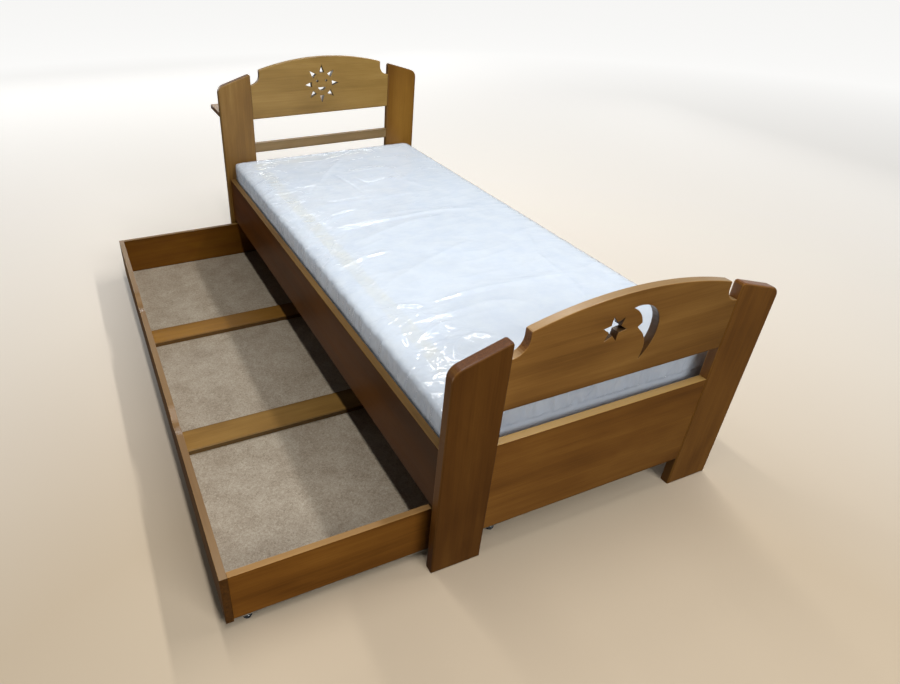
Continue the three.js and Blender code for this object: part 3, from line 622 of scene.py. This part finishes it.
# Folds of the film on the mattress top, placed as in the photo, in millimetres from its left
# edge and its foot edge: the fold's path, its height, and how far its steep and its gentle side reach
FOLDS = (
    (((95, 1080), (310, 1090), (550, 1105), (740, 1080)), 3.4, 6, 30),
    (((120, 630), (330, 730), (500, 800), (560, 815)), 2.6, 22, 34),
    (((215, 488), (405, 497), (580, 488), (760, 480)), 3.2, 7, 26),
    (((105, 410), (240, 410), (370, 423), (445, 405), (510, 350)), 2.6, 14, 30),
    (((70, 318), (130, 343), (185, 365), (220, 375)), 3.4, 6, 14),
    (((130, 200), (157, 250), (200, 280), (242, 285), (300, 255)), 3.6, 6, 16),
    (((95, 518), (190, 481)), 2.6, 5, 12),
    (((90, 1440), (190, 1472), (340, 1676), (505, 1886)), 3.0, 16, 36),
    (((363, 1640), (402, 1220)), 2.2, 12, 30),
    (((410, 1661), (560, 1665), (640, 1642)), 2.0, 7, 18),
    (((427, 1584), (450, 1481), (555, 1505), (660, 1518)), 2.2, 8, 20),
    (((633, 1645), (625, 1449), (683, 1346)), 2.0, 10, 24),
    (((86, 1120), (188, 1200), (300, 1230)), 2.4, 8, 22),
    (((83, 1038), (60, 940), (42, 841)), 2.4, 8, 18),
    (((21, 789), (157, 844), (270, 851)), 2.6, 8, 20),
    (((156, 951), (428, 1048), (570, 1055)), 2.2, 12, 30),
    (((40, 1300), (220, 1330), (420, 1300), (620, 1340)), 1.8, 14, 34),
    (((620, 250), (700, 420), (720, 640), (800, 820)), 2.0, 12, 30),
    (((260, 60), (330, 170), (480, 220), (640, 180)), 2.2, 12, 26),
)
CRINKLES = 48 # short creases near the left edge and the foot corner
CRINKLE_SEED = 7


def lattice_turn(i, j, k, seed):
    """A number from 0 to 1 that looks random but is the same on every run."""
    mixed = (i * 374761393 + j * 668265263 + k * 2147483647 + seed * 974634777) & 0xFFFFFFFF
    mixed = ((mixed ^ (mixed >> 13)) * 1274126177) & 0xFFFFFFFF
    return (mixed ^ (mixed >> 16)) / 0xFFFFFFFF


def soft_noise(points, scale, seed):
    """Smooth noise from -1 to 1 at points given as rows, with a scale for each axis."""
    at = points * np.asarray(scale)
    cell = np.floor(at).astype(np.int64)
    part = at - cell
    ease = part * part * part * (part * (part * 6 - 15) + 10)
    total = np.zeros(len(points))
    for di in (0, 1):
        for dj in (0, 1):
            for dk in (0, 1):
                i, j, k = cell[:, 0] + di, cell[:, 1] + dj, cell[:, 2] + dk
                weight = (
                    np.where(di, ease[:, 0], 1 - ease[:, 0])
                    * np.where(dj, ease[:, 1], 1 - ease[:, 1])
                    * np.where(dk, ease[:, 2], 1 - ease[:, 2])
                )
                slope = np.stack([lattice_turn(i, j, k, seed + n) * 2 - 1 for n in range(3)], axis=1)
                total += weight * (slope * (part - (di, dj, dk))).sum(axis=1)
    return total * 1.6


def step(value, low, high):
    t = np.clip((value - low) / (high - low), 0.0, 1.0)
    return t * t * (3 - 2 * t)


def ridge(noise_value, sharp):
    return np.clip(1.0 - np.abs(noise_value) * 2.0, 0.0, 1.0) ** sharp


def fold_height(flat, path, height, steep, gentle):
    """Height of one fold: a sharp crest along a path, steep on one side and gentle on the other."""
    best = np.full(len(flat), 1e9)
    sign = np.ones(len(flat))
    along = np.zeros(len(flat))
    lengths = [math.dist(a, b) for a, b in zip(path, path[1:])]
    done = 0.0
    for (a, b), length in zip(zip(path, path[1:]), lengths):
        start, way = np.array(a, float), (np.array(b, float) - np.array(a, float)) / length
        offset = flat - start
        reach = np.clip(offset @ way, 0.0, length)
        gap = offset - reach[:, None] * way
        distance = np.hypot(gap[:, 0], gap[:, 1])
        nearer = distance < best
        best = np.where(nearer, distance, best)
        sign = np.where(nearer, way[0] * offset[:, 1] - way[1] * offset[:, 0], sign)
        along = np.where(nearer, (done + reach) / sum(lengths), along)
        done += length
    width = np.where(sign > 0, gentle, steep)
    taper = np.clip(np.minimum(along, 1 - along) * 5.0, 0.0, 1.0) ** 0.7
    return height * taper * np.exp(-best / width)


def crinkle_folds():
    """Short seeded creases, crowded where the photo's film glints most."""
    rng = random.Random(CRINKLE_SEED)
    made = []
    for number in range(CRINKLES):
        if number % 3 == 0:
            u, v = rng.uniform(15, 200), rng.uniform(60, 420)
        elif number % 3 == 1:
            u, v = rng.gauss(110, 35), rng.gauss(600, 90)
        else:
            u, v = rng.uniform(5, 140), rng.uniform(60, 1960)
        turn = math.radians(rng.gauss(25, 40))
        length = rng.uniform(40, 120)
        bend = rng.uniform(-0.25, 0.25) * length
        du, dv = math.cos(turn) * length / 2, math.sin(turn) * length / 2
        path = ((u - du, v - dv), (u + bend * 0.3, v + bend), (u + du, v + dv))
        made.append((path, rng.uniform(0.5, 1.5), rng.uniform(4, 7), rng.uniform(8, 16)))
    return made


def pucker_rise(mm, facing, top, side, edge):
    """Puckers that run down the sides and fan out over the top's edge."""
    round_edge = np.clip(1.0 - edge / FAN_REACH, 0.0, 1.0) ** 1.5
    lean = 0.25 * mm[:, Z]
    sides_x = np.abs(facing[:, X]) > np.abs(facing[:, Y])
    run = np.where(sides_x, mm[:, Y] + lean, mm[:, X] + lean)
    across = np.stack([run, mm[:, Z], np.where(sides_x, 0.0, 400.0)], axis=1)
    pucker = 0.6 * ridge(soft_noise(across, (0.017, 0.004, 1.0), 41), 1.6)
    pucker += 0.4 * ridge(soft_noise(across, (0.041, 0.008, 1.0), 51), 1.8)
    fan = np.stack([mm[:, Y] + 0.5 * mm[:, X], 0.25 * mm[:, X], mm[:, Z] * 0.1], axis=1)
    fan = ridge(soft_noise(fan, (0.022, 0.006, 0.01), 61), 2.0)
    uneven = 0.35 * (top + side) * soft_noise(mm, (0.05, 0.05, 0.05), 71) * (0.3 + round_edge)
    tall = PUCKER_HEIGHT - RIGHT_TAUT * step(facing[:, X], 0.2, 0.6)
    return side * tall * pucker + top * round_edge * FAN_HEIGHT * fan + uneven


def film_rise(points, facing, low, high):
    """How far the film stands off the core at each point, in metres."""
    mm = points / MM
    flat = np.stack([(points[:, axis] - low[axis]) / MM for axis in (X, Y)], axis=1)
    size = (high - low)[:2] / MM
    edge = np.minimum(flat, size - flat).min(axis=1)
    top = step(facing[:, Z], 0.25, 0.9)
    side = 1.0 - step(np.abs(facing[:, Z]), 0.35, 0.95)

    rise = np.zeros(len(points))
    near = top > 0.01
    lifted = np.zeros(near.sum())
    for path, height, steep, gentle in (*FOLDS, *crinkle_folds()):
        lifted = np.maximum(lifted, fold_height(flat[near], path, height, steep, gentle))
    rise[near] += FOLD_GAIN * lifted * top[near]

    bend = [soft_noise(mm, (0.004, 0.004, 0.004), 11 + n) for n in range(3)]
    warp = mm + 40.0 * np.stack(bend, axis=1)
    broad = ridge(soft_noise(warp, (0.0028, 0.0095, 0.003), 21), 3)
    slight = ridge(soft_noise(warp, (0.006, 0.021, 0.01), 31), 4)
    rise += top * (1.2 * broad + 0.5 * slight)
    rise += EDGE_SLACK * step(1.0 - np.abs(facing[:, Z]), 0.05, 0.4) * step(facing[:, Z], 0.1, 0.4)
    rise += pucker_rise(mm, facing, top, side, edge)

    # Held in by the rails below their top edge, and flat under the mattress
    free = step(points[:, Z], RAIL_TOP + TUCK[0], RAIL_TOP + TUCK[1])
    rise = np.maximum(rise, 0.0) * (HELD + (1.0 - HELD) * free)
    rise += RAIL_LEAN * step(np.abs(facing[:, X]), 0.5, 0.9)
    rise = np.minimum(rise, np.where(facing[:, Y] > 0.5, HEAD_LIMIT, FILM_LIMIT))
    rise *= 1.0 - step(-facing[:, Z], 0.5, 0.95)
    return FILM_LIFT + rise * MM


def make_film(core, low, high):
    film = new_object("mattress_film", core.data.copy())
    film.data.name = "mattress_film"
    finer = film.modifiers.new("finer", "SUBSURF")
    finer.levels = 1
    with_modifiers_applied(film)
    points = places(film.data)
    facing = normals(film.data)
    points = points + facing * film_rise(points, facing, low, high)[:, None]
    room = np.where(points[:, Z] < RAIL_TOP + RAIL_CLEAR, RAIL_ROOM, 2 * FILM_LIMIT * MM)
    points[:, X] = np.clip(points[:, X], low[X] - room, high[X] + room)
    set_places(film.data, points)
    return film


def smooth(piece):
    piece.data.polygons.foreach_set("use_smooth", [True] * len(piece.data.polygons))
    piece.data.update()


# Border of the mattress cover: a cream woven tape that shows through the film
BORDER = (64.0 * MM, 114.0 * MM) # from the edge
COVER_WHITE = srgb(230, 237, 246)
BORDER_CREAM = srgb(236, 231, 210)
LEAF_CREAM = srgb(222, 214, 186)
BORDER_BLUR = 4.0 * MM


def cover_finish(low, high):
    t = Tree("mattress_cover")
    place = t.place()
    at = t.split(place)
    inset = None
    for axis in (X, Y):
        half = (high[axis] - low[axis]) / 2
        gap = t.math("SUBTRACT", half, t.off_middle(at[axis], low[axis], high[axis]))
        inset = gap if inset is None else t.math("MINIMUM", inset, gap)
    border = t.product(
        t.span(inset, BORDER[0], BORDER[0] + BORDER_BLUR),
        t.span(inset, BORDER[1], BORDER[1] + BORDER_BLUR, 1.0, 0.0),
        t.span(t.math("ABSOLUTE", t.facing()[Z]), 0.7, 0.9),
        t.span(at[X], (low[X] + high[X]) / 2, high[X] - 0.2, 1.0, 0.0),
        t.span(t.noise(place, 28.0, 2.0, 0.5, 1.0), 0.35, 0.6, 0.12, 0.5),
    )
    leaf = t.span(t.noise(place, 95.0, 2.0, 0.5, 2.5), 0.46, 0.56)
    cream = t.mix(leaf, BORDER_CREAM, LEAF_CREAM)
    weave = t.node("TexWave", wave_type="BANDS", bands_direction="DIAGONAL")
    t.put(weave.inputs["Vector"], place)
    for socket, value in (("Scale", 260.0), ("Distortion", 1.5), ("Detail", 1.0)):
        weave.inputs[socket].default_value = value
    soft = t.noise(place, 9.0, 3.0, 0.5)
    white = t.ramp(soft, [(0.3, dimmed(COVER_WHITE, 0.93)), (0.7, COVER_WHITE)])
    quilt = t.noise(place, 30.0, 2.0, 0.5)
    height = t.math("MULTIPLY_ADD", weave.outputs["Fac"], 0.25, quilt)
    return t.finish(
        Base_Color=t.mix(border, white, cream),
        Roughness=t.span(soft, 0.3, 0.7, 0.8, 0.9),
        Normal=t.bump(height, 0.3, 1.2 * MM),
        Sheen_Weight=0.15,
    )


FILM_WARP = (0.09, 0.09, 0.05)
FACET_HEIGHT = 0.45
RIPPLE_HEIGHT = 0.10
# Sets of thin creases: scale, direction in degrees, distortion, offset and height
CREASES = (
    (22.0, 12.0, 0.3, (1.0, 2.0, 3.0), 0.24),
    (34.0, -30.0, 0.4, (5.0, 7.0, 1.0), 0.15),
    (48.0, 48.0, 0.4, (3.0, 1.0, 8.0), 0.10),
)


def film_crowding(t, place, low, high):
    """Where the film is crumpled most: along its left edge, at the foot corner and at both ends."""
    at = t.split(place)
    from_left = t.math("SUBTRACT", at[X], low[X])
    from_foot = t.math("SUBTRACT", at[Y], low[Y])
    from_head = t.math("SUBTRACT", high[Y], at[Y])
    by_left = t.span(from_left, 0.05, 0.22, 1.0, 0.12, smooth=True)
    by_foot = t.product(t.span(from_foot, 0.25, 0.60, 1.0, 0.0, smooth=True),
                        t.span(from_left, 0.15, 0.36, 1.0, 0.0, smooth=True))
    by_head = t.span(from_head, 0.02, 0.14, 0.6, 0.0, smooth=True)
    foot_face = t.span(from_foot, 0.004, 0.02, 0.7, 0.0)
    crowd = t.math("MAXIMUM", t.math("MAXIMUM", by_left, by_foot), t.math("MAXIMUM", by_head, foot_face))
    patchy = t.span(t.noise(place, 5.0, 2.0, 0.5), 0.35, 0.65, 0.35, 1.0)
    return t.product(crowd, patchy, t.span(from_foot, 0.45, 1.0, 0.75, 1.7))


def film_creases(t, bent, scale, turn, distortion, offset):
    """Thin crests that run across the top and down the sides."""
    turned = t.mapped(bent, turn=(0.0, 0.0, math.radians(turn)))
    spun = t.mapped(turned, scale=(0.14, 1.0, 0.12), offset=offset)
    wave = t.noise(spun, scale, 1.0, 0.4, distortion)
    off = t.math("ABSOLUTE", t.math("SUBTRACT", wave, 0.5))
    crest = t.span(off, 0.0, 0.085, 1.0, 0.0, smooth=True)
    tall = t.span(t.noise(spun, scale * 0.6, 1.0, 0.5), 0.42, 0.62)
    return t.product(crest, tall)


def film_finish(low, high):
    """Clear film, crumpled into flat facets and thin creases."""
    t = Tree("clear_film")
    place = t.place()
    warp = t.node("TexNoise")
    t.put(warp.inputs["Vector"], place)
    warp.inputs["Scale"].default_value = 9.0
    warp.inputs["Detail"].default_value = 3.0
    shift = t.vector("SUBTRACT", warp.outputs["Color"], (0.5, 0.5, 0.5))
    bent = t.vector("ADD", place, t.vector("MULTIPLY", shift, FILM_WARP))
    facets = t.node("TexVoronoi", feature="F1", distance="MANHATTAN")
    across = (0.0, 0.0, math.radians(20.0))
    t.put(facets.inputs["Vector"], t.mapped(bent, scale=(1.0, 0.6, 0.22), turn=across))
    facets.inputs["Scale"].default_value = 15.0
    height = t.product(facets.outputs["Distance"], FACET_HEIGHT)
    for *shape, rise in CREASES:
        height = t.math("MULTIPLY_ADD", film_creases(t, bent, *shape), rise, height)
    height = t.product(height, film_crowding(t, place, low, high))
    ripple = t.noise(t.mapped(place, scale=(0.7, 1.3, 1.0)), 26.0, 3.0, 0.5, 0.8)
    height = t.math("MULTIPLY_ADD", ripple, RIPPLE_HEIGHT, height)
    haze = t.noise(place, 14.0, 3.0, 0.6)
    made = t.finish(
        Base_Color=t.ramp(haze, [(0.3, srgb(226, 238, 252)), (0.7, srgb(238, 247, 255))]),
        Roughness=t.span(haze, 0.3, 0.7, 0.05, 0.11),
        Normal=t.bump(height, 1.0, 8.0 * MM),
        Specular_IOR_Level=1.0,
        IOR=1.58,
        Alpha=0.42,
    )
    made.surface_render_method = "BLENDED"
    return made


def make_mattress():
    low, high = (np.array(corner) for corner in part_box("mattress"))
    core = make_core()
    film = make_film(core, low, high)
    for piece, finish in ((core, cover_finish(low, high)), (film, film_finish(low, high))):
        smooth(piece)
        piece.data.materials.clear()
        piece.data.materials.append(finish)
        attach(piece, "bed_frame")
    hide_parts("mattress")


make_mattress()


# Stage and lights

# The backdrop's glow starts and is full this many metres from its middle, aside of the camera's foot
FLOOR_NEAR, FLOOR_FAR = 1.35, 8.6
FLOOR_ASIDE = 0.35
FLOOR_GLOW = 0.89
FLOOR_FALL = 1.6
FLOOR_SIDES = 72
# Radius and height of each ring of the floor and its backdrop
FLOOR_PROFILE = (
    (0.6, 0.0), (4.0, 0.0), (17.0, 0.0), (18.6, 0.3), (19.7, 1.2), (20.0, 3.0), (20.0, 16.0),
)


def make_floor():
    """A flat pale floor that turns up into a backdrop all round."""
    mesh = bpy.data.meshes.new("floor")
    built = bmesh.new()
    rings = []
    for radius, height in FLOOR_PROFILE:
        ring = []
        for number in range(FLOOR_SIDES):
            turn = 2 * math.pi * number / FLOOR_SIDES
            ring.append(built.verts.new((radius * math.cos(turn), radius * math.sin(turn), height)))
        rings.append(ring)
    built.faces.new(rings[0])
    for inner, outer in zip(rings, rings[1:]):
        for number in range(FLOOR_SIDES):
            after = (number + 1) % FLOOR_SIDES
            built.faces.new((inner[number], outer[number], outer[after], inner[after]))
    built.to_mesh(mesh)
    built.free()
    floor = new_object("floor", mesh)
    t = Tree("floor")
    place = t.place()
    cloud = t.noise(place, 0.7, 2.0, 0.5)
    foot = (CAMERA_PLACE[0] + FLOOR_ASIDE, CAMERA_PLACE[1], 0.0)
    away = t.node("VectorMath", operation="LENGTH")
    t.put(away.inputs[0], t.vector("SUBTRACT", place, foot))
    away = t.math("LOGARITHM", t.math("MAXIMUM", away.outputs["Value"], 0.5), math.e)
    glow = t.span(away, math.log(FLOOR_NEAR), math.log(FLOOR_FAR))
    tan = t.ramp(cloud, [(0.3, srgb(200, 182, 157)), (0.7, srgb(205, 188, 163))])
    mesh.materials.append(t.finish(
        Base_Color=t.mix(glow, tan, srgb(238, 236, 232)),
        Roughness=0.8,
        Emission_Color=t.mix(glow, (1.0, 0.95, 0.86), (1.0, 0.995, 0.98)),
        Emission_Strength=t.product(t.math("POWER", glow, FLOOR_FALL), FLOOR_GLOW),
    ))
    floor.visible_diffuse = False
    floor.visible_glossy = False


def area_light(name, place, aim, size, power, colour, spread=180.0, side=(1.0, 0.0, 0.0)):
    """A rectangular lamp whose first size runs along the side given."""
    data = bpy.data.lights.new(name, "AREA")
    data.shape = "RECTANGLE"
    data.size, data.size_y = size
    data.energy = power
    data.color = colour
    data.spread = math.radians(spread)
    back = (Vector(place) - Vector(aim)).normalized()
    across = Vector(side)
    across = (across - back * across.dot(back)).normalized()
    turn = Matrix((across, back.cross(across), back)).transposed().to_4x4()
    light = bpy.data.objects.new(name, data)
    light.matrix_world = Matrix.Translation(Vector(place)) @ turn
    light.visible_camera = False
    bpy.context.scene.collection.objects.link(light)


WARM = (1.0, 0.985, 0.96)
COOL = (0.98, 0.99, 1.0)
SKY = (0.95, 0.98, 1.05, 1.0)
SKY_STRENGTH = 0.035
LOW_SPREAD = 100.0 # degrees
ALONG_Y = (0.0, 1.0, 0.0)


def make_lights():
    world = bpy.data.worlds.new("world")
    world.use_nodes = True
    background = world.node_tree.nodes["Background"]
    background.inputs[0].default_value = SKY
    background.inputs[1].default_value = SKY_STRENGTH
    bpy.context.scene.world = world
    area_light("overhead", (-0.52, -1.2, 3.2), (-0.52, -1.2, 0.0), (0.16, 4.2), 60.0, WARM)
    area_light("right", (1.36, 0.1, 3.0), (0.0, 0.1, 0.3), (0.15, 3.4), 56.0, WARM)
    area_light("front", (1.25, -5.8, 3.9), (0.2, -1.0, 0.4), (2.8, 2.0), 173.0, COOL)
    area_light("low_left", (-4.6, 0.2, 0.55), (0.0, 0.2, 0.5), (5.0, 0.6), 18.5, WARM, LOW_SPREAD, ALONG_Y)
    area_light("low_right", (4.6, 0.2, 0.7), (0.0, 0.2, 0.4), (5.0, 0.8), 9.0, COOL, LOW_SPREAD, ALONG_Y)
    area_light("low_back", (0.0, 6.5, 1.3), (0.0, 0.0, 0.5), (7.0, 0.9), 34.0, COOL, LOW_SPREAD)


make_floor()
make_lights()
bpy.context.scene.view_settings.view_transform = "Standard"
